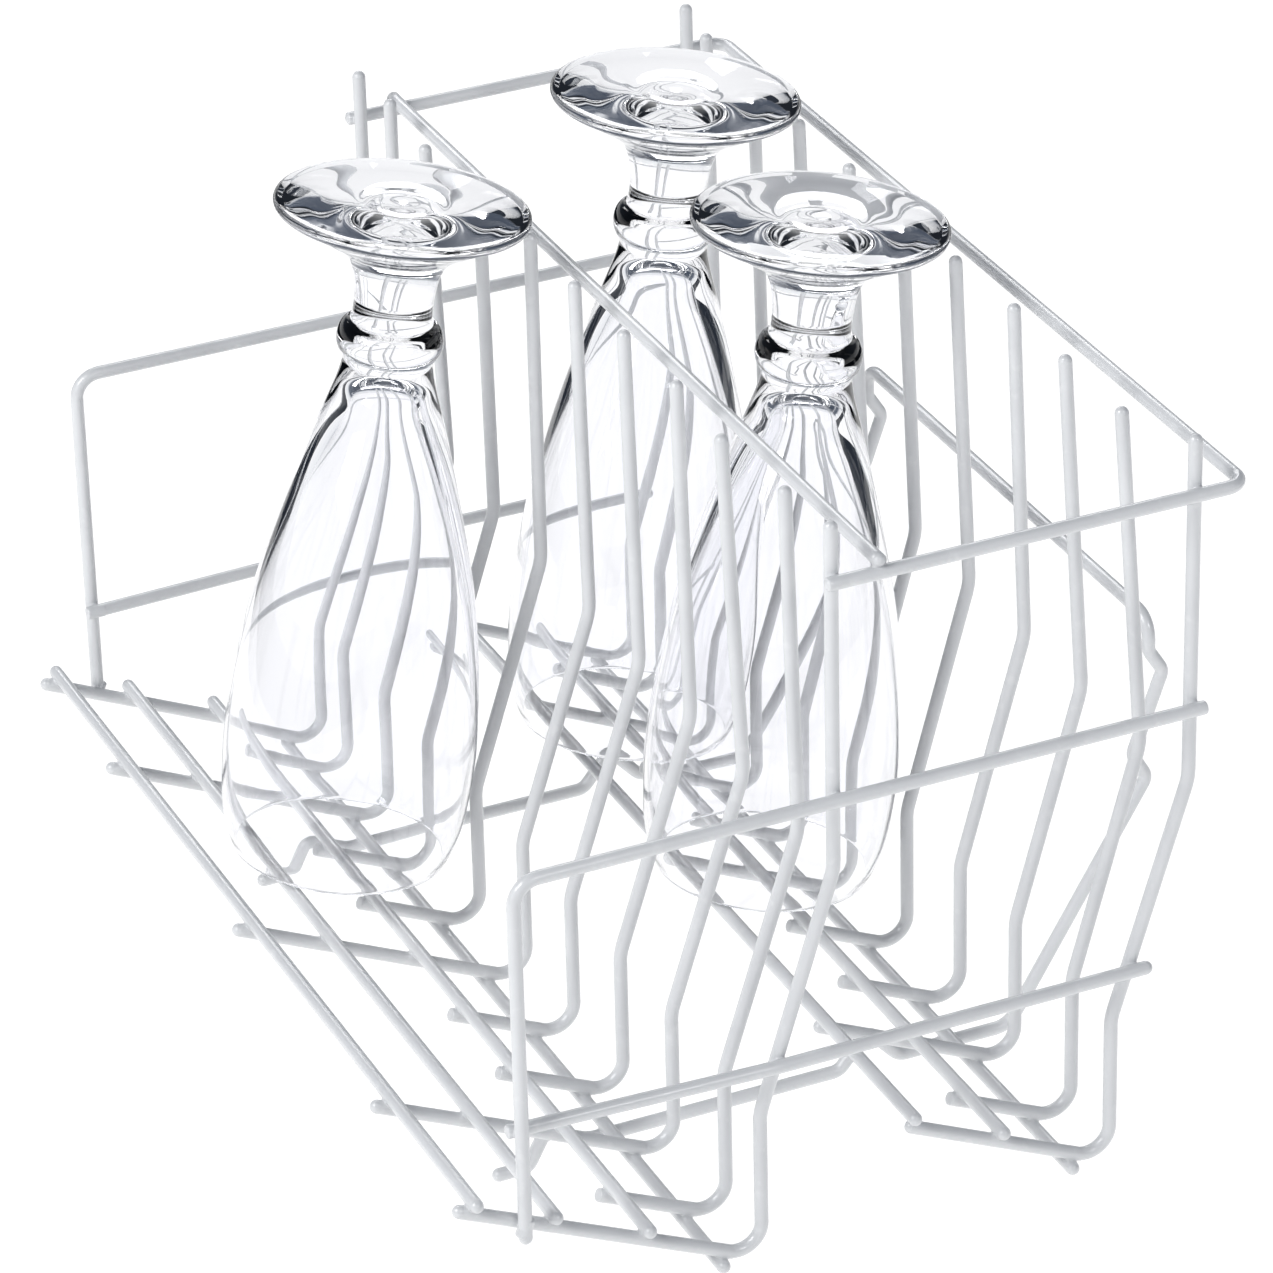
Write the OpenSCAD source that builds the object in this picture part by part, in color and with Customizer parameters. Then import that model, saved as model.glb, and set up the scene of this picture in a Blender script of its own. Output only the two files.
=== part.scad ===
// Wire insert for a glass washer, with three tumblers standing upside down in it.
// X runs from the left row of prongs to the right row, Y along the rows, Z up.
// The origin is under the middle of the insert, on the surface that it stands on.

/* [Wire] */
// Outer diameter of the coated wire
wire_d = 3.5; // [3:0.1:4]
// How far two crossing wires sink into each other at a weld
weld_sink = 0.3; // [0.1:0.05:0.4]
// Radius of a sharp bend, at the middle of the wire
bend_r = 6.5; // [5:0.5:8]
// Radius of a soft bend, at the middle of the wire
soft_bend_r = 16; // [10:1:24]

/* [Prongs] */
// Prongs in each row
prong_count = 11; // [9:2:11]
// Distance between neighbouring prongs
prong_pitch = 30.8; // [28:0.1:34]
// Distance from an end prong to its neighbour
end_gap = 20.5; // [16:0.5:28]
// Distance from the left row to the right row
row_pitch = 96.8; // [92:0.1:104]
// Slope of the seats that the glasses stand on
seat_angle = 25; // [20:1:28]
// Height of the corner between seat and upright
seat_corner_z = 6.7; // [6.2:0.1:9]
// Length of a long seat in the left row, from the corner
left_long_seat = 81.5; // [79:0.5:90]
// Length of a long seat in the right row, from the corner
right_long_seat = 57.2; // [57:0.1:60]
// Length of a short seat, from the corner
short_seat = 34.8; // [33:0.2:40]
// Height where the upright starts to lean
knee_z = 48.5; // [44:0.5:54]
// Height where the lean ends
shoulder_z = 112.5; // [108:0.5:118]
// How far an end prong leans to the right
end_lean = 20.5; // [18:0.1:22]
// Height of the prong tops
prong_top_z = 207.2; // [204:0.1:212]

/* [Rails] */
// Distance of the floor rails from the seat corner, outermost first
rail_steps = [76.2, 55.6, 31, 11.5];
// How far a floor rail runs past the end prongs
rail_overhang = 4; // [3:0.5:6]

/* [Top frame] */
// Height of the top frame
top_frame_z = 192.4; // [188:0.2:198]
// Distance of the frame's long side from the right row
top_frame_offset = 12.2; // [8:0.1:14]
// Distance of the top rail from the left row
top_rail_offset = 11; // [8:0.1:14]

/* [End frames] */
// Height of the end frame's arm
end_arm_z = 133.3; // [128:0.1:138]
// Height of the end brace
end_brace_z = 62.9; // [60:0.1:68]
// Distance of the end frame's leg from the left row
leg_offset = 84.7; // [82:0.1:88]
// Height of the near leg's lower end
near_leg_z = 32; // [28:0.5:33]
// Height of the far leg's lower end
far_leg_z = 34.5; // [28:0.5:35]

/* [Hanger] */
// Distance of the hanger's near side from the middle
hanger_near = 75; // [70:0.5:80]
// Distance of the hanger's far side from the middle
hanger_far = 86; // [82:0.5:88]
// Height of the hanger's side rail
hanger_rail_z = 116.4; // [112:0.2:120]

/* [Glasses] */
// Height of a glass
glass_h = 183.4; // [178:0.2:188]
// Diameter of the foot
foot_d = 66; // [60:0.5:68]
// Diameter of the mouth
mouth_d = 57.3; // [54:0.1:59]
// Largest diameter of the bowl
bowl_d = 66.8; // [62:0.2:67]
// Wall thickness of the bowl
glass_wall = 1.6; // [1.2:0.1:2.4]
// Height of the mouth above the surface, at its middle
mouth_z = 36.6; // [36.5:0.1:38]

/* [Hidden] */
wire_r = wire_d / 2;
weld_gap = wire_d - weld_sink;
fine = 48;
// A bend and a domed end are this much slimmer than the straight wire, which overlaps them
slimmer = 0.02;
overlap = 0.1;

// Rows of prongs: X of the end prongs' tops, seat length, inner lean
row_tops = [0, row_pitch];
long_seats = [left_long_seat, right_long_seat];
// How far the inner prongs lean to the right, up to their shoulders
inner_leans = [21, 18.2];
// How far each prong's top is sprung to the left of an end prong's, near to far
top_springs = [
    [0, 2, 4, 1.5, 1.5, 1, -0.5, 0.5, 2.5, -0.5, 0],
    [0, 9, 8, 6, 6.5, 6, 6, 5.5, 4, 3.5, 0]
];
long_seat_prongs = [0, 2, 5, 8, 10];

rack_l = 2 * end_gap + (prong_count - 3) * prong_pitch;
function prong_y(i) = i == 0 ? -rack_l / 2
    : i == prong_count - 1 ? rack_l / 2
    : -rack_l / 2 + end_gap + (i - 1) * prong_pitch;
function is_end(i) = i == 0 || i == prong_count - 1;

// The hanger's arm has two crooks that point to the right, with a waist between them
hanger_lower_crook = [123.3, 70];
hanger_waist = [119, 77.4];
hanger_upper_crook = [127.4, 100.5];
hanger_rail_x = 123.2;
hanger_neck = [hanger_rail_x, 107.2];
crook_r = 3;

// The middle of the whole insert, measured from the left row's end prongs
left_edge = -end_lean - left_long_seat + wire_r * cos(seat_angle) - wire_r + slimmer;
crook_in = unit(hanger_upper_crook - hanger_waist);
crook_out = unit(hanger_neck - hanger_upper_crook);
crook_middle = hanger_upper_crook
    + unit(crook_out - crook_in) * crook_r / cos(acos(crook_in * crook_out) / 2);
right_edge = crook_middle[0] + crook_r + wire_r - slimmer;
middle_x = (left_edge + right_edge) / 2;

hanger_z = wire_r;
rail_steps_right = [rail_steps[1], rail_steps[2], rail_steps[3]];
low_rail_z = seat_corner_z + rail_steps[3] * tan(seat_angle) - weld_gap / cos(seat_angle);
hanger_run_z = low_rail_z - weld_gap;

// Glasses: X and Y of the mouth's middle, lean to the right, lean to the back
glass_left_place = [-56.8, prong_y(6) + 8, 8.6, 0.9];
glass_middle_place = [39.5, prong_y(7) + 7.4, 6.5, 0.5];
glass_right_place = [39.8, prong_y(4) + 12.2, 6.3, 0.7];

prong_numbers = [for (i = [0:prong_count - 1]) i];

// ---- Bent wire ----

function unit(v) = v / norm(v);
function turn(p, i) = acos(max(-1, min(1, unit(p[i] - p[i - 1]) * unit(p[i + 1] - p[i]))));
// Length that a bend takes from the straight on each side of corner i
function bend_cut(p, r, i) =
    i == 0 || i == len(p) - 1 ? 0 : r[i] * tan(turn(p, i) / 2);

// Turns local X, Y and Z to the three directions given
module face_along(x, y, z) {
    multmatrix([
        [x[0], y[0], z[0], 0],
        [x[1], y[1], z[1], 0],
        [x[2], y[2], z[2], 0],
        [0, 0, 0, 1]
    ]) children();
}

function any_across(d) = abs(d[2]) < 0.9 ? unit(cross([0, 0, 1], d)) : unit(cross([1, 0, 0], d));

// A straight piece of wire from a to b, a little longer at each end to overlap what follows
module straight(a, b) {
    d = unit(b - a);
    x = any_across(d);
    translate(a - d * overlap) face_along(x, cross(d, x), d)
        cylinder(r = wire_r, h = norm(b - a) + 2 * overlap, $fn = fine);
}

// The bend of radius r at corner b, between a and c
module bend(a, b, c, r) {
    d1 = unit(b - a);
    d2 = unit(c - b);
    axis = unit(cross(d1, d2));
    angle = acos(d1 * d2);
    inward = cross(axis, d1);
    start = b - d1 * r * tan(angle / 2);
    translate(start + inward * r)
        face_along(-inward, d1, axis)
            rotate_extrude(angle = angle, $fn = 4 * fine)
                translate([r, 0]) circle(r = wire_r - slimmer, $fn = fine);
}

// The rounded end of a wire: its dome points along d, and its tip is at p
module dome(p, d) {
    x = any_across(d);
    translate(p - d * wire_r) face_along(x, cross(d, x), d)
        rotate_extrude($fn = fine) intersection() {
            translate([0, -overlap]) square([wire_r, 2 * wire_r]);
            circle(r = wire_r - slimmer, $fn = fine);
        }
}

// A wire through the corners p, with a bend radius for each corner and two domed ends
module wire(p, r) {
    last = len(p) - 1;
    for (i = [0:last - 1]) {
        d = unit(p[i + 1] - p[i]);
        from = p[i] + d * (i == 0 ? wire_r : bend_cut(p, r, i));
        to = p[i + 1] - d * (i == last - 1 ? wire_r : bend_cut(p, r, i + 1));
        straight(from, to);
    }
    for (i = [1:1:last - 1]) bend(p[i - 1], p[i], p[i + 1], r[i]);
    dome(p[0], unit(p[0] - p[1]));
    dome(p[last], unit(p[last] - p[last - 1]));
}

// ---- Prongs ----

// One prong: a sloping seat, a corner, an upright that leans out and then rises
module prong(row, i) {
    y = prong_y(i);
    low_x = row_tops[row] - end_lean - middle_x;
    seat = len(search(i, long_seat_prongs)) > 0 ? long_seats[row] : short_seat;
    shoulder = is_end(i) ? end_lean : inner_leans[row];
    top = end_lean - top_springs[row][i];
    path = [
        [low_x - seat, y, seat_corner_z + seat * tan(seat_angle)],
        [low_x, y, seat_corner_z],
        [low_x, y, knee_z],
        [low_x + shoulder, y, shoulder_z],
        [low_x + top, y, prong_top_z]
    ];
    color("gainsboro") wire(path, [0, bend_r, soft_bend_r, soft_bend_r, 0]);
}

// ---- Floor rails ----

// A straight rail along the row, on top of the seats or under them
module floor_rail(row, step, under) {
    x = row_tops[row] - end_lean - step - middle_x;
    side = under ? -1 : 1;
    z = seat_corner_z + step * tan(seat_angle) + side * weld_gap / cos(seat_angle);
    half = rack_l / 2 + rail_overhang;
    color("gainsboro") wire([[x, -half, z], [x, half, z]], [0, 0]);
}

module left_floor_rail(n) {
    floor_rail(0, rail_steps[n - 1], n == 4);
}

module right_floor_rail(n) {
    floor_rail(1, rail_steps_right[n - 1], n == 3);
}

// ---- Top frame ----

frame_y = rack_l / 2 + weld_gap;

// Three sides round both rows, just inside the prong tops
module top_frame() {
    left = -3.2 - middle_x;
    right = row_pitch + top_frame_offset - middle_x;
    path = [
        [left, -frame_y, top_frame_z],
        [right, -frame_y, top_frame_z],
        [right, frame_y, top_frame_z],
        [left, frame_y, top_frame_z]
    ];
    color("gainsboro") wire(path, [0, 5, 5, 0]);
}

// The rail that lies on the frame, beside the left row
module top_rail() {
    x = top_rail_offset - middle_x;
    half = frame_y + wire_r - 0.4;
    z = top_frame_z + weld_gap;
    color("gainsboro") wire([[x, -half, z], [x, half, z]], [0, 0]);
}

// ---- End frames ----

arm_right = 99.3;
brace_left = -87.6;
brace_right = 85.8;
// The brace passes behind the leg, so its left half runs in towards the prongs
brace_kink = -18;

// A leg on the left and an arm to the right, welded across the end prongs
module end_frame(side) {
    leg_x = -leg_offset - middle_x;
    y = side * frame_y;
    path = [
        [leg_x, y, side < 0 ? near_leg_z : far_leg_z],
        [leg_x, y, end_arm_z],
        [arm_right - middle_x, y, end_arm_z]
    ];
    color("gainsboro") wire(path, [0, bend_r, 0]);
}

module end_brace(side) {
    path = [
        [brace_left - middle_x, side * (frame_y - weld_gap), end_brace_z],
        [brace_kink - middle_x, side * frame_y, end_brace_z],
        [brace_right - middle_x, side * frame_y, end_brace_z]
    ];
    color("gainsboro") wire(path, [0, 40, 0]);
}

module near_end_frame() {
    end_frame(-1);
}

module near_end_brace() {
    end_brace(-1);
}

module far_end_frame() {
    end_frame(1);
}

module far_end_brace() {
    end_brace(1);
}

// ---- Hanger ----

// The hanger's side view, as X and Z: hook, runs under both rows, and arm with two crooks
hanger_profile = [
    [-63.3, hanger_z],
    [-53.4, hanger_z],
    [-48.6, 10.8],
    [-36.5, hanger_run_z],
    [34.3, hanger_run_z],
    [42.6, 15.2],
    [51.6, hanger_run_z],
    [83.6, hanger_run_z],
    hanger_lower_crook,
    hanger_waist,
    hanger_upper_crook,
    hanger_neck,
    [hanger_rail_x, hanger_rail_z]
];
hanger_bends = [0, 3, 2.6, 10, 4, 2.6, 4, 7, crook_r, 3.2, crook_r, 4];

// One wire: up the near side, along the side rail and down the far side
module hanger() {
    side = [for (q = hanger_profile) [q[0] - middle_x, 0, q[1]]];
    last = len(side) - 1;
    near = [for (i = [0:last]) side[i] - [0, hanger_near, 0]];
    far = [for (i = [last:-1:0]) side[i] + [0, hanger_far, 0]];
    back = [for (i = [len(hanger_bends) - 1:-1:0]) hanger_bends[i]];
    color("gainsboro") wire(concat(near, far), concat(hanger_bends, [6, 6], back));
}

// ---- Glasses ----

// Outer outline from the mouth up, as radius and height
bowl_outline = [
    [mouth_d / 2, 0],
    [bowl_d / 2 - 1.1, 12],
    [bowl_d / 2, 30],
    [bowl_d / 2 - 0.6, 44],
    [bowl_d / 2 - 2, 58],
    [bowl_d / 2 - 4.6, 75],
    [bowl_d / 2 - 8.6, 92],
    [bowl_d / 2 - 12.8, 108],
    [bowl_d / 2 - 17.2, 123],
    [bowl_d / 2 - 20.4, 136]
];
bead_z = 146;
bead_r = 6.2;
bead_reach = 14.4;
neck_outline = [
    [10.2, 152.4],
    [10.3, 158],
    [11.6, 165],
    [15, 170],
    [foot_d / 2 - 9, 175.2],
    [foot_d / 2 - 1.6, 178.8]
];
foot_edge_r = 1.7;
// Height of the inside of the bowl, up to its round end
bowl_depth = 136;

// A smooth curve through the points p, with n steps between neighbours
function spline_point(a, b, c, d, t) =
    0.5 * (2 * b + (c - a) * t + (2 * a - 5 * b + 4 * c - d) * t * t
    + (3 * b - a - 3 * c + d) * t * t * t);
function at(p, i) = p[max(0, min(len(p) - 1, i))];
function spline(p, n) = concat(
    [for (i = [0:len(p) - 2], k = [0:n - 1])
        spline_point(at(p, i - 1), p[i], p[i + 1], at(p, i + 2), k / n)],
    [p[len(p) - 1]]
);
function arc(c, r, from, to, n) =
    [for (k = [0:n]) c + r * [cos(from + (to - from) * k / n), sin(from + (to - from) * k / n)]];

inner_outline = [
    for (i = [0:len(bowl_outline) - 2])
        bowl_outline[i] - [glass_wall + 2.4 * pow(i / len(bowl_outline), 3), 0]
];

// One glass, mouth down, with its axis on Z and its mouth at the origin
module glass() {
    outside = concat(
        arc([mouth_d / 2 - glass_wall / 2, glass_wall / 2], glass_wall / 2, -90, 0, 4),
        [for (i = [3:len(spline(bowl_outline, 3)) - 1]) spline(bowl_outline, 3)[i]],
        arc([bead_reach - bead_r, bead_z], bead_r, -48, 62, 8),
        spline(neck_outline, 3),
        arc([foot_d / 2 - foot_edge_r, glass_h - foot_edge_r - 1.4], foot_edge_r, -50, 80, 6),
        [[foot_d / 2 - 6, glass_h], [foot_d / 2 - 12, glass_h - 1.4], [0, glass_h - 2.6]]
    );
    inside = spline(concat(inner_outline, [[9, 131], [4.5, bowl_depth - 1], [0, bowl_depth]]), 3);
    difference() {
        rotate_extrude($fn = 2 * fine) polygon(concat([[0, 0]], outside));
        rotate_extrude($fn = 2 * fine) polygon(concat([[0, -1], [inner_outline[0][0], -1]], inside));
    }
}

module placed_glass(place) {
    color("lightcyan", 0.4)
        translate([place[0] - middle_x, place[1], mouth_z])
            rotate([-place[3], 0, 0]) rotate([0, place[2], 0]) glass();
}

module glass_left() {
    placed_glass(glass_left_place);
}

module glass_middle() {
    placed_glass(glass_middle_place);
}

module glass_right() {
    placed_glass(glass_right_place);
}

for (i = prong_numbers) {
    prong(0, i);
    prong(1, i);
}
for (i = [1:4]) left_floor_rail(i);
for (i = [1:3]) right_floor_rail(i);
top_frame();
top_rail();
near_end_frame();
near_end_brace();
far_end_frame();
far_end_brace();
hanger();
glass_left();
glass_middle();
glass_right();
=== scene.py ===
"""Looks of a coated wire insert for a glass washer, with three beer glasses upside down in it."""
import math

import bpy
from mathutils import Matrix, Vector


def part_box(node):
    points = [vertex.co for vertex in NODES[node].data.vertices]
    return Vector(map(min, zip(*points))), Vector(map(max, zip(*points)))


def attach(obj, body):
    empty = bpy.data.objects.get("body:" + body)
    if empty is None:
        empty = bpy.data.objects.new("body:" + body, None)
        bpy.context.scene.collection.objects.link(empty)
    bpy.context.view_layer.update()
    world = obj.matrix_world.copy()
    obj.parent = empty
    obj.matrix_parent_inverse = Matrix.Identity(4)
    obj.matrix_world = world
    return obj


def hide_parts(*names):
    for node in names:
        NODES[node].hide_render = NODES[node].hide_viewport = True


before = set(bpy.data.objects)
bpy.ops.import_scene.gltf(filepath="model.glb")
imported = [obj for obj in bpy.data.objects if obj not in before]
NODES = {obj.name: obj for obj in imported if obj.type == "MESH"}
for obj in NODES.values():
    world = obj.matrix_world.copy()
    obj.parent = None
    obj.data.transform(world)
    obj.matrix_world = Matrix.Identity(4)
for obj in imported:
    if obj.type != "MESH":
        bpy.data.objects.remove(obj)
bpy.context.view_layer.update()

# ---- Sizes shared with the CAD part, in metres ----

WIRE_R = 0.00175
WELD_REACH = 0.0016          # from a wire's axis to the contact with the wire it crosses
SEAT_ANGLE = math.radians(25)
END_LEAN = 0.0205            # from an end prong's lower upright to its upper one
KNEE_Z, SHOULDER_Z = 0.0485, 0.1125
SEAT_CORNER_Z = 0.0067       # where a seat's line meets its upright's

X, Y, Z = Vector((1, 0, 0)), Vector((0, 1, 0)), Vector((0, 0, 1))
SEAT_DOWN = Vector((math.cos(SEAT_ANGLE), 0, -math.sin(SEAT_ANGLE)))
SEAT_UP = Vector((math.sin(SEAT_ANGLE), 0, math.cos(SEAT_ANGLE)))


# ---- Modelling ----

def fresh_mesh(add, **settings):
    """Adds one primitive with everything else deselected, and returns its object."""
    bpy.ops.object.select_all(action="DESELECT")
    add(**settings)
    return bpy.context.active_object


def only(piece):
    bpy.ops.object.select_all(action="DESELECT")
    bpy.context.view_layer.objects.active = piece
    piece.select_set(True)


def modifier(piece, kind, **settings):
    """Adds a modifier and applies it."""
    only(piece)
    made = piece.modifiers.new(kind.lower(), kind)
    for name, value in settings.items():
        setattr(made, name, value)
    bpy.ops.object.modifier_apply(modifier=made.name)


def joined(pieces, name):
    """Joins the pieces into one object of that name."""
    only(pieces[0])
    for piece in pieces:
        piece.select_set(True)
    bpy.ops.object.join()
    whole = bpy.context.active_object
    whole.name = whole.data.name = name
    return whole


def settled(piece):
    """Moves the object's place into its mesh, so that the object sits at the origin."""
    only(piece)
    bpy.ops.object.transform_apply(location=True, rotation=True, scale=True)
    return piece


# ---- Materials ----

class Shade:
    """An output of a shader node; arithmetic on it adds Math nodes."""

    def __init__(self, tree, out=None):
        self.tree = tree
        self.out = out

    def node(self, kind, settings=None, sockets=None, output=0):
        made = self.tree.nodes.new(kind)
        for name, value in (settings or {}).items():
            if name == "stops":
                ramp = made.color_ramp.elements
                while len(ramp) < len(value):
                    ramp.new(0.5)
                for stop, (place, colour) in zip(ramp, value):
                    stop.position = place
                    stop.color = colour
            else:
                setattr(made, name, value)
        for name, value in (sockets or {}).items():
            if isinstance(value, Shade):
                self.tree.links.new(value.out, made.inputs[name])
            else:
                made.inputs[name].default_value = value
        return Shade(self.tree, made.outputs[output])

    def maths(self, operation, other):
        return self.node("ShaderNodeMath", {"operation": operation}, {0: self, 1: other})

    def __add__(self, other):
        return self.maths("ADD", other)

    __radd__ = __add__

    def __mul__(self, other):
        return self.maths("MULTIPLY", other)

    __rmul__ = __mul__


def material(name):
    """A new material: its node tree as a Shade, and its Principled shader."""
    made = bpy.data.materials.new(name)
    made.use_nodes = True
    tree = made.node_tree
    shader = next(n for n in tree.nodes if n.type == "BSDF_PRINCIPLED")
    return made, Shade(tree), shader


def link(shade, shader, socket):
    shade.tree.links.new(shade.out, shader.inputs[socket])


def noise(shade, coords, scale, detail=2.0):
    return shade.node("ShaderNodeTexNoise", {}, {"Vector": coords, "Scale": scale, "Detail": detail})


def mixed(shade, factor, first, second):
    return shade.node(
        "ShaderNodeMix", {"data_type": "RGBA"}, {0: factor, 6: first, 7: second}, output=2
    )


def coated_wire():
    """Pale grey plastic coat: semi-gloss, faintly mottled, with a fine orange peel."""
    made, shade, shader = material("coated_wire")
    coords = shade.node("ShaderNodeTexCoord", output=3)
    cloud = noise(shade, coords, 70)
    grain = noise(shade, coords, 900, 3)
    rubbed = shade.node(
        "ShaderNodeValToRGB",
        {"stops": [(0.60, (0, 0, 0, 1)), (0.72, (1, 1, 1, 1))]},
        {"Fac": noise(shade, coords, 240, 4)},
    )
    pale = mixed(shade, cloud, (0.72, 0.73, 0.74, 1), (0.61, 0.62, 0.635, 1))
    link(mixed(shade, rubbed * 0.35, pale, (0.79, 0.795, 0.80, 1)), shader, "Base Color")
    link(0.30 + grain * 0.10 + cloud * 0.08 + rubbed * 0.10, shader, "Roughness")
    bump = shade.node(
        "ShaderNodeBump", {}, {"Strength": 0.12, "Distance": 0.0002, "Height": grain + cloud * 2.0}
    )
    link(bump, shader, "Normal")
    shader.inputs["Coat Weight"].default_value = 0.6
    shader.inputs["Coat Roughness"].default_value = 0.12
    return made


def clear_glass():
    """Polished soda-lime glass: faintly wavy down its length, with a breath of haze."""
    made, shade, shader = material("clear_glass")
    coords = shade.node("ShaderNodeTexCoord", output=3)
    drawn = shade.node("ShaderNodeMapping", {}, {"Vector": coords, "Scale": (1, 1, 0.12)})
    waves = noise(shade, drawn, 90, 1)
    haze = noise(shade, coords, 45, 3)
    link(haze * 0.02, shader, "Roughness")
    link(mixed(shade, haze, (0.985, 0.985, 0.997, 1), (0.965, 0.967, 0.985, 1)), shader, "Base Color")
    bump = shade.node("ShaderNodeBump", {}, {"Strength": 0.03, "Distance": 0.0004, "Height": waves})
    link(bump, shader, "Normal")
    shader.inputs["Transmission Weight"].default_value = 1
    shader.inputs["IOR"].default_value = 1.5
    return made


COATED_WIRE = coated_wire()
CLEAR_GLASS = clear_glass()


def finish_with(piece, look):
    piece.data.materials.clear()
    piece.data.materials.append(look)


# ---- Welds: the coating that has run into each crossing ----

WELD_R = WIRE_R * 1.03       # a little fatter than the wires before it is smoothed
WELD_HALF = 0.0027           # from the crossing to each end of a weld's wires
TIP_CUT = 0.0009             # how far inside the top rail's ends its welds stop


def weld_pattern():
    """Two short crossing wires melted together: the fillets stand out, the rest hides in the wires."""
    bars = []
    for side, turn in ((-1, (0, math.pi / 2, 0)), (1, (math.pi / 2, 0, 0))):
        bars.append(fresh_mesh(
            bpy.ops.mesh.primitive_cylinder_add,
            vertices=24, radius=WELD_R, depth=2 * WELD_HALF,
            location=(0, 0, side * WELD_REACH), rotation=turn,
        ))
    pattern = settled(joined(bars, "weld_pattern"))
    modifier(pattern, "REMESH", mode="VOXEL", voxel_size=0.00026, use_smooth_shade=True)
    modifier(pattern, "SMOOTH", factor=0.5, iterations=16)
    modifier(pattern, "DECIMATE", ratio=0.35)
    only(pattern)
    bpy.ops.object.shade_smooth()
    return pattern


def weld(pattern, place, along_below, towards, along_above=None):
    """A copy of the pattern at a crossing. towards points from the wire below to the wire above,
    and along_above is given where the two wires don't cross at a right angle."""
    piece = pattern.copy()
    piece.data = pattern.data.copy()
    bpy.context.collection.objects.link(piece)
    along_above = along_above or towards.cross(along_below)
    turn = Matrix((along_below, along_above, towards)).transposed().to_4x4()
    piece.data.transform(Matrix.Translation(place) @ turn)
    return piece


def trimmed(piece, end, outward):
    """Cuts away what stands past the end of a wire."""
    only(piece)
    bpy.ops.object.mode_set(mode="EDIT")
    bpy.ops.mesh.select_all(action="SELECT")
    bpy.ops.mesh.bisect(plane_co=end, plane_no=outward, use_fill=True, clear_outer=True)
    bpy.ops.object.mode_set(mode="OBJECT")
    return piece


def middle(node):
    """The middle of a node's box."""
    low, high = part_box(node)
    return (low + high) / 2


def prongs(row):
    return [name for name in NODES if name.startswith(row + "_prong_")]


def seat_reaches(prong, x):
    """Whether a prong's seat runs under or over a rail at x."""
    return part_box(prong)[0].x < x - WIRE_R


def row_welds(pattern, row):
    """Every crossing of a row's seats with its floor rails."""
    made = []
    rails = [name for name in NODES if name.startswith(row + "_floor_rail_")]
    lowest = min(rails, key=lambda name: middle(name).z)
    for rail in rails:
        axis = middle(rail)
        up = -SEAT_UP if rail == lowest else SEAT_UP
        for prong in prongs(row):
            if seat_reaches(prong, axis.x):
                contact = Vector((axis.x, middle(prong).y, axis.z)) - up * WELD_REACH
                made.append(weld(pattern, contact, SEAT_DOWN, up))
    return joined(made, row + "_row_welds")


def end_prong_x(prong, z):
    """X of an end prong's middle line at height z."""
    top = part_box(prong)[1].x - WIRE_R
    rise = (z - KNEE_Z) / (SHOULDER_Z - KNEE_Z)
    return top - END_LEAN * (1 - min(1, max(0, rise)))


def end_welds(pattern, end):
    """The top frame, end frame and brace across the two end prongs, the leg and the top rail."""
    first_or_last = "1" if end == "near" else "11"
    out = -Y if end == "near" else Y
    frame_node, brace_node = end + "_end_frame", end + "_end_brace"
    prong_y = middle("left_prong_" + first_or_last).y
    contact_y = prong_y + out.y * WELD_REACH
    arm_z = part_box(frame_node)[1].z - WIRE_R
    brace_z = middle(brace_node).z
    top_z = middle("top_frame").z
    lean = Vector((END_LEAN, 0, SHOULDER_Z - KNEE_Z)).normalized()
    made = []
    for row in ("left", "right"):
        prong = row + "_prong_" + first_or_last
        for z, along in ((arm_z, Z), (brace_z, lean), (top_z, Z)):
            place = Vector((end_prong_x(prong, z), contact_y, z))
            made.append(weld(pattern, place, along, out, out.cross(Z)))
    leg_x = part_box(frame_node)[0].x + WIRE_R
    corner_x = end_prong_x("left_prong_1", 0)
    seat_z = SEAT_CORNER_Z + (corner_x - leg_x) * math.tan(SEAT_ANGLE)
    made.append(weld(pattern, Vector((leg_x, contact_y, seat_z)), SEAT_DOWN, out))
    made.append(weld(pattern, Vector((leg_x, contact_y, brace_z)), X, out))
    rail_x = middle("top_rail").x
    rail_place = Vector((rail_x, prong_y + out.y * 2 * WELD_REACH, top_z + WELD_REACH))
    rail_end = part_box("top_rail")[0 if end == "near" else 1] - out * TIP_CUT
    made.append(trimmed(weld(pattern, rail_place, X, Z), rail_end, out))
    return joined(made, end + "_end_welds")


def hanger_welds(pattern):
    """The hanger's two runs under the lowest floor rails."""
    low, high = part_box("hanger")
    made = []
    for rail in ("left_floor_rail_4", "right_floor_rail_3"):
        axis = middle(rail)
        for y in (low.y + WIRE_R, high.y - WIRE_R):
            place = Vector((axis.x, y, axis.z - WELD_REACH))
            made.append(weld(pattern, place, X, Z))
    return joined(made, "hanger_welds")


PATTERN = weld_pattern()
for group in (
    row_welds(PATTERN, "left"), row_welds(PATTERN, "right"),
    end_welds(PATTERN, "near"), end_welds(PATTERN, "far"), hanger_welds(PATTERN),
):
    settled(group)
    finish_with(group, COATED_WIRE)
    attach(group, "rack")
bpy.data.objects.remove(PATTERN)

# ---- Glasses ----

GLASS_H = 0.1834
FOOT_R = 0.033
MOUTH_R = 0.02865
BOWL_R = 0.0334
WALL = 0.0011                # at the mouth
THICKER_FROM = 0.03          # height at which the wall starts to thicken
THICKER_BY = 0.0051          # at THICKER_SPAN above that
THICKER_SPAN = 0.093
RIM_SLOPE = 20               # degrees that the mouth's wall leans in
EDGE_R = 0.0014              # rounding of the foot's edge
EDGE_Z = GLASS_H - 0.0021
BEAD_MIDDLE = (0.0106, 0.1458)   # radius, height
BEAD_R = 0.0032
BEAD_STRETCH = 1.5           # its height over its depth
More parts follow.
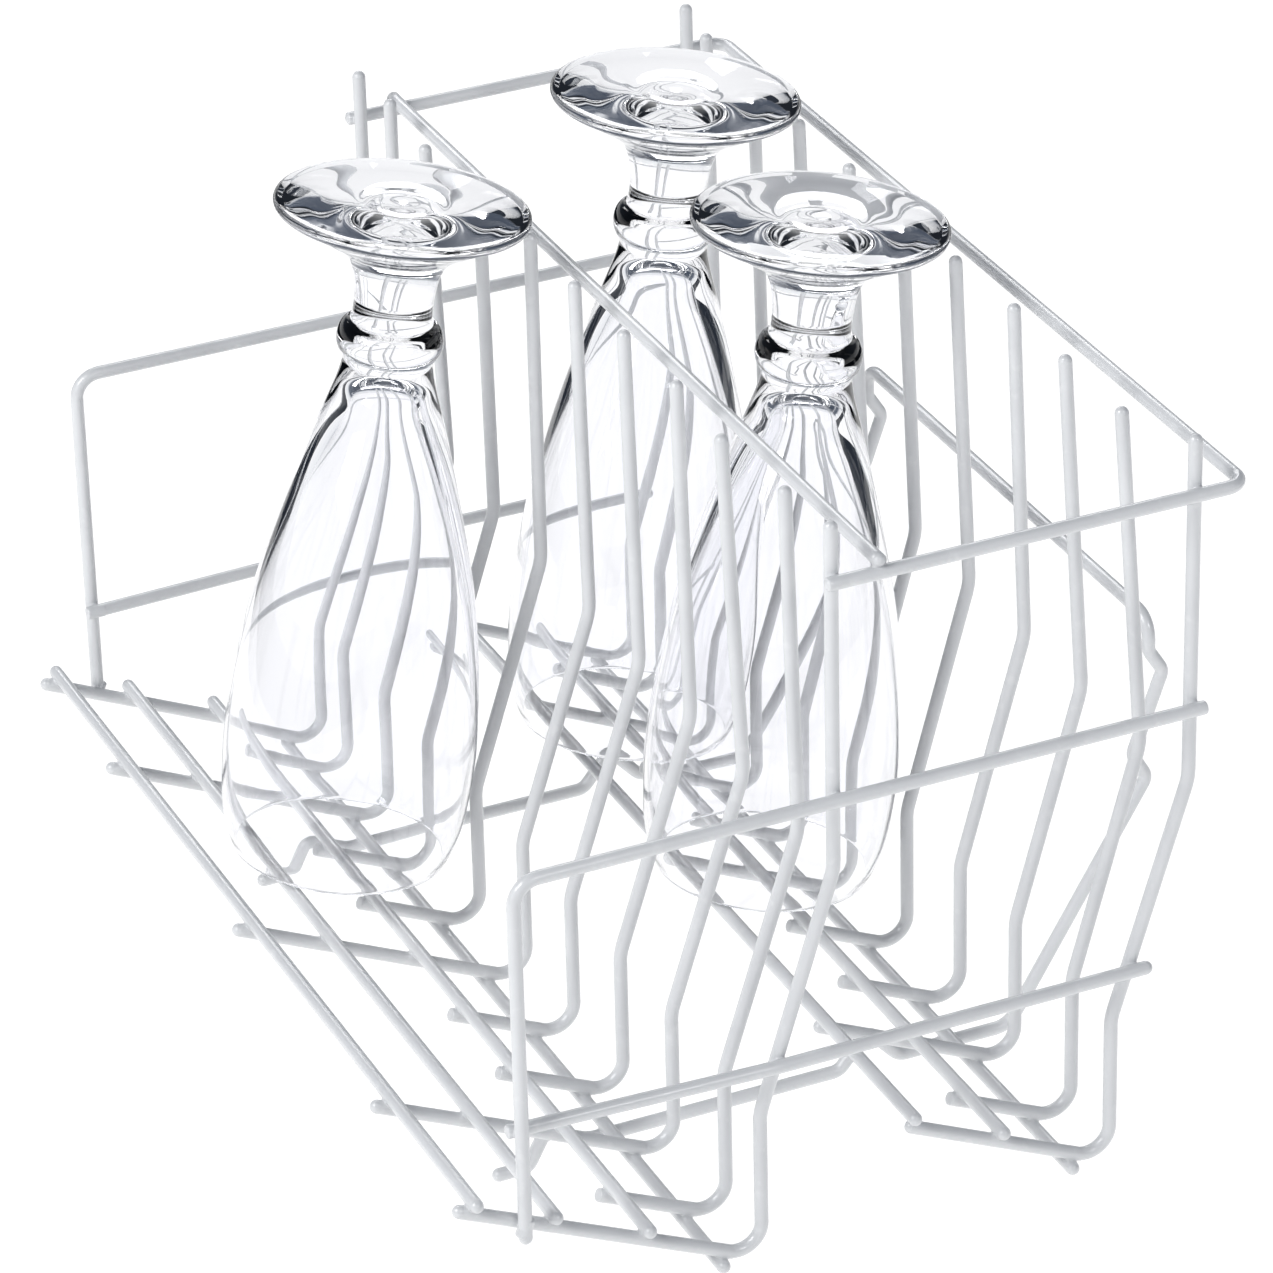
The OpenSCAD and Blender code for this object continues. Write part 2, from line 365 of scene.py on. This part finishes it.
# Outer outline of the bowl from the mouth up: distance inside the widest radius, height
BOWL_SIDE = (
    (0.0026, 0.006), (0.0010, 0.014), (0, 0.030), (0.0006, 0.044), (0.0020, 0.058), (0.0046, 0.075),
    (0.0086, 0.092), (0.0128, 0.108), (0.0172, 0.123), (0.0206, 0.134), (0.0217, 0.1392),
)
# From the bead to the foot's edge: radius, height
NECK_SIDE = (
    (0.0103, 0.1524), (0.0103, 0.158), (0.0116, 0.165), (0.0150, 0.170),
    (0.0240, 0.1756), (0.0305, 0.1797),
)
# The inside's dome: radius, height
BOWL_TOP = ((0.0074, 0.131), (0.0038, 0.135), (0, 0.1362))
# The face of the foot, with a shallow dish in its middle: radius, distance below its top
FOOT_FACE = (
    (0.0300, 0.0006), (0.0210, 0.0002), (0.0130, 0.0006), (0.0090, 0.0013), (0.0055, 0.0010),
    (0, 0.0014),
)
# Mouth's middle, lean to the right and lean to the back of each glass
GLASS_PLACES = {
    "left": ((-0.07013, 0.0388, 0.0366), 8.6, 0.9),
    "middle": ((0.02617, 0.0690, 0.0366), 6.5, 0.5),
    "right": ((0.02647, -0.0186, 0.0366), 6.3, 0.7),
}


def smooth_line(points, steps):
    """Points on a smooth curve through the given ones."""
    def at(i):
        return Vector(points[max(0, min(len(points) - 1, i))])
    line = []
    for i in range(len(points) - 1):
        a, b, c, d = at(i - 1), at(i), at(i + 1), at(i + 2)
        for k in range(steps):
            t = k / steps
            line.append(0.5 * (2 * b + (c - a) * t + (2 * a - 5 * b + 4 * c - d) * t ** 2
                               + (3 * b - a - 3 * c + d) * t ** 3))
    return line + [at(len(points) - 1)]


def arc(centre, radius, start, stop, steps, stretch=1):
    """An arc, or where stretch isn't 1, an ellipse stretched along the height."""
    turns = [math.radians(start + (stop - start) * k / steps) for k in range(steps + 1)]
    return [Vector((centre[0] + radius * math.cos(t), centre[1] + stretch * radius * math.sin(t)))
            for t in turns]


def inner_radius(radius, height):
    """Radius of the bowl's inside, where its outside has the given radius."""
    thicker = max(0, (height - THICKER_FROM) / THICKER_SPAN) ** 2
    return radius - WALL - THICKER_BY * thicker


def glass_outline():
    """Radius and height from the top of the inside, round the mouth, to the middle of the foot."""
    outside = [(BOWL_R - inset, z) for inset, z in BOWL_SIDE]
    inside = [(inner_radius(r, z), z) for r, z in outside[:-2]]
    rim = arc((MOUTH_R - WALL / 2, WALL / 2), WALL / 2, -180 - RIM_SLOPE, -RIM_SLOPE, 10)
    inner = smooth_line([rim[0], *inside, *BOWL_TOP], 6)
    outer = smooth_line([rim[-1], *outside], 6)
    bead = arc(BEAD_MIDDLE, BEAD_R, -72, 80, 16, stretch=BEAD_STRETCH)
    neck = smooth_line(NECK_SIDE, 10)
    edge = arc((FOOT_R - EDGE_R, EDGE_Z), EDGE_R, -60, 80, 10)
    face = smooth_line([(r, GLASS_H - dip) for r, dip in FOOT_FACE], 5)
    return inner[:0:-1] + rim + outer[1:] + bead + neck + edge + face


def glass(side):
    """One glass turned on its axis, mouth down, then set down leaning in the insert."""
    outline = glass_outline()
    piece = fresh_mesh(bpy.ops.mesh.primitive_plane_add, size=0.001)
    bpy.ops.object.mode_set(mode="EDIT")
    bpy.ops.mesh.merge(type="CENTER")
    bpy.ops.transform.translate(value=(outline[0].x, 0, outline[0].y))
    for before, after in zip(outline, outline[1:]):
        step = after - before
        bpy.ops.mesh.extrude_region_move(TRANSFORM_OT_translate={"value": (step.x, 0, step.y)})
    bpy.ops.mesh.select_all(action="SELECT")
    bpy.ops.mesh.spin(steps=128, angle=2 * math.pi, center=(0, 0, 0), axis=(0, 0, 1))
    bpy.ops.mesh.select_all(action="SELECT")
    bpy.ops.mesh.remove_doubles(threshold=0.00002)
    bpy.ops.mesh.normals_make_consistent(inside=False)
    bpy.ops.object.mode_set(mode="OBJECT")
    bpy.ops.object.shade_smooth()
    piece.name = piece.data.name = side + "_beer_glass"
    place, right, back = GLASS_PLACES[side]
    lean = Matrix.Rotation(math.radians(-back), 4, "X") @ Matrix.Rotation(math.radians(right), 4, "Y")
    piece.matrix_world = Matrix.Translation(place) @ lean
    settled(piece)
    finish_with(piece, CLEAR_GLASS)
    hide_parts("glass_" + side)
    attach(piece, side + "_glass")


for side in GLASS_PLACES:
    glass(side)

# ---- The CAD wires keep their shape ----

for name, node in NODES.items():
    finish_with(node, CLEAR_GLASS if name.startswith("glass_") else COATED_WIRE)

# ---- Studio ----

def floor():
    """A plain pale floor that gives most of its own light."""
    made = fresh_mesh(bpy.ops.mesh.primitive_circle_add, vertices=96, radius=6, fill_type="NGON")
    made.name = "studio_floor"
    made.location.z = -0.0002    # just under the insert
    look, shade, shader = material("studio_floor")
    coords = shade.node("ShaderNodeTexCoord", output=3)
    tone = noise(shade, coords, 3)
    link(mixed(shade, tone, (0.14, 0.142, 0.145, 1), (0.12, 0.122, 0.125, 1)), shader, "Base Color")
    shader.inputs["Roughness"].default_value = 0.9
    shader.inputs["Emission Color"].default_value = (1, 1, 1, 1)
    shader.inputs["Emission Strength"].default_value = 1.0
    made.data.materials.append(look)
    settled(made)


SURROUND_R, SURROUND_H = 0.6, 0.13
MOST_FACES = 3               # glass faces that a ray may pass and still meet the dark wall
LAMP_TARGET = Vector((0, 0, 0.1))


def dark_felt():
    """Navy felt, clear to rays that reflected off nothing first or passed too many glass faces."""
    look, shade, shader = material("dark_surround")
    coords = shade.node("ShaderNodeTexCoord", output=3)
    felt = noise(shade, coords, 40)
    link(mixed(shade, felt, (0.006, 0.010, 0.018, 1), (0.010, 0.015, 0.026, 1)), shader, "Base Color")
    shader.inputs["Roughness"].default_value = 1
    faces = shade.node("ShaderNodeLightPath", output="Transmission Depth")
    reflections = shade.node("ShaderNodeLightPath", output="Glossy Depth")
    unseen = faces.maths("GREATER_THAN", MOST_FACES).maths("MAXIMUM", reflections.maths("LESS_THAN", 1))
    clear = shade.node("ShaderNodeBsdfTransparent")
    both = shade.node("ShaderNodeMixShader", {}, {
        0: unseen, 1: Shade(shade.tree, shader.outputs[0]), 2: clear,
    })
    surface = next(n for n in shade.tree.nodes if n.type == "OUTPUT_MATERIAL")
    link(both, surface, "Surface")
    return look


def dark_surround():
    """A low dark wall round the set, which the camera doesn't see."""
    made = fresh_mesh(
        bpy.ops.mesh.primitive_cylinder_add, vertices=64, radius=SURROUND_R, depth=SURROUND_H,
        end_fill_type="NOTHING", location=(0, 0, SURROUND_H / 2),
    )
    made.name = "dark_surround"
    made.data.materials.append(dark_felt())
    settled(made)
    made.visible_camera = False
    made.visible_diffuse = False
    made.visible_shadow = False


def softbox(name, place, size, power):
    """A soft lamp aimed at the middle of the insert."""
    lamp = bpy.data.lights.new(name, "AREA")
    lamp.shape = "RECTANGLE"
    lamp.size, lamp.size_y = size
    lamp.energy = power
    holder = bpy.data.objects.new(name, lamp)
    bpy.context.collection.objects.link(holder)
    aim = LAMP_TARGET - Vector(place)
    holder.location = place
    holder.rotation_euler = aim.to_track_quat("-Z", "Y").to_euler()


def studio_sky():
    """Pale near the horizon and dark overhead."""
    sky = bpy.data.worlds.new("studio_sky")
    bpy.context.scene.world = sky
    sky.use_nodes = True
    shade = Shade(sky.node_tree)
    background = next(n for n in sky.node_tree.nodes if n.type == "BACKGROUND")
    coords = shade.node("ShaderNodeTexCoord", output=0)
    height = shade.node("ShaderNodeSeparateXYZ", {}, {"Vector": coords}, output=2)
    colour = shade.node("ShaderNodeValToRGB", {"stops": [
        (0.0, (0.93, 0.94, 0.96, 1)), (0.12, (0.85, 0.87, 0.90, 1)),
        (0.24, (0.10, 0.12, 0.16, 1)), (1.0, (0.04, 0.05, 0.07, 1)),
    ]}, {"Fac": height})
    link(colour, background, "Color")


CAMERA_PLACE = (-0.5936, -1.34009, 0.91645)
CAMERA_AZIMUTH, CAMERA_ELEVATION, CAMERA_ROLL = -23.9, 29.07, -1.46    # degrees
CAMERA_LENS, CAMERA_SENSOR = 183.06, 36                                # millimetres


def camera():
    """The view down on the insert from the low end of its rows."""
    azimuth, elevation, roll = (
        math.radians(angle) for angle in (CAMERA_AZIMUTH, CAMERA_ELEVATION, CAMERA_ROLL)
    )
    ahead = Vector((-math.sin(azimuth) * math.cos(elevation),
                    math.cos(azimuth) * math.cos(elevation), -math.sin(elevation)))
    level = Vector((math.cos(azimuth), math.sin(azimuth), 0))
    upward = level.cross(ahead)
    right = math.cos(roll) * level + math.sin(roll) * upward
    top = -math.sin(roll) * level + math.cos(roll) * upward
    lens = bpy.data.cameras.new("camera")
    lens.sensor_width = CAMERA_SENSOR
    lens.lens = CAMERA_LENS
    lens.clip_start = 0.05
    lens.clip_end = 30
    holder = bpy.data.objects.new("camera", lens)
    bpy.context.collection.objects.link(holder)
    turn = Matrix((right, top, -ahead)).transposed().to_4x4()
    holder.matrix_world = Matrix.Translation(CAMERA_PLACE) @ turn
    bpy.context.scene.camera = holder


floor()
studio_sky()
dark_surround()
softbox("left_softbox", (-1.2, -0.2, 1.1), (0.8, 0.8), 18)
softbox("back_softbox", (0.5, 1.4, 1.1), (1.2, 0.4), 9)
softbox("front_softbox", (0.3, -1.7, 1.3), (0.6, 0.4), 8)
camera()
bpy.context.scene.view_settings.view_transform = "Standard"
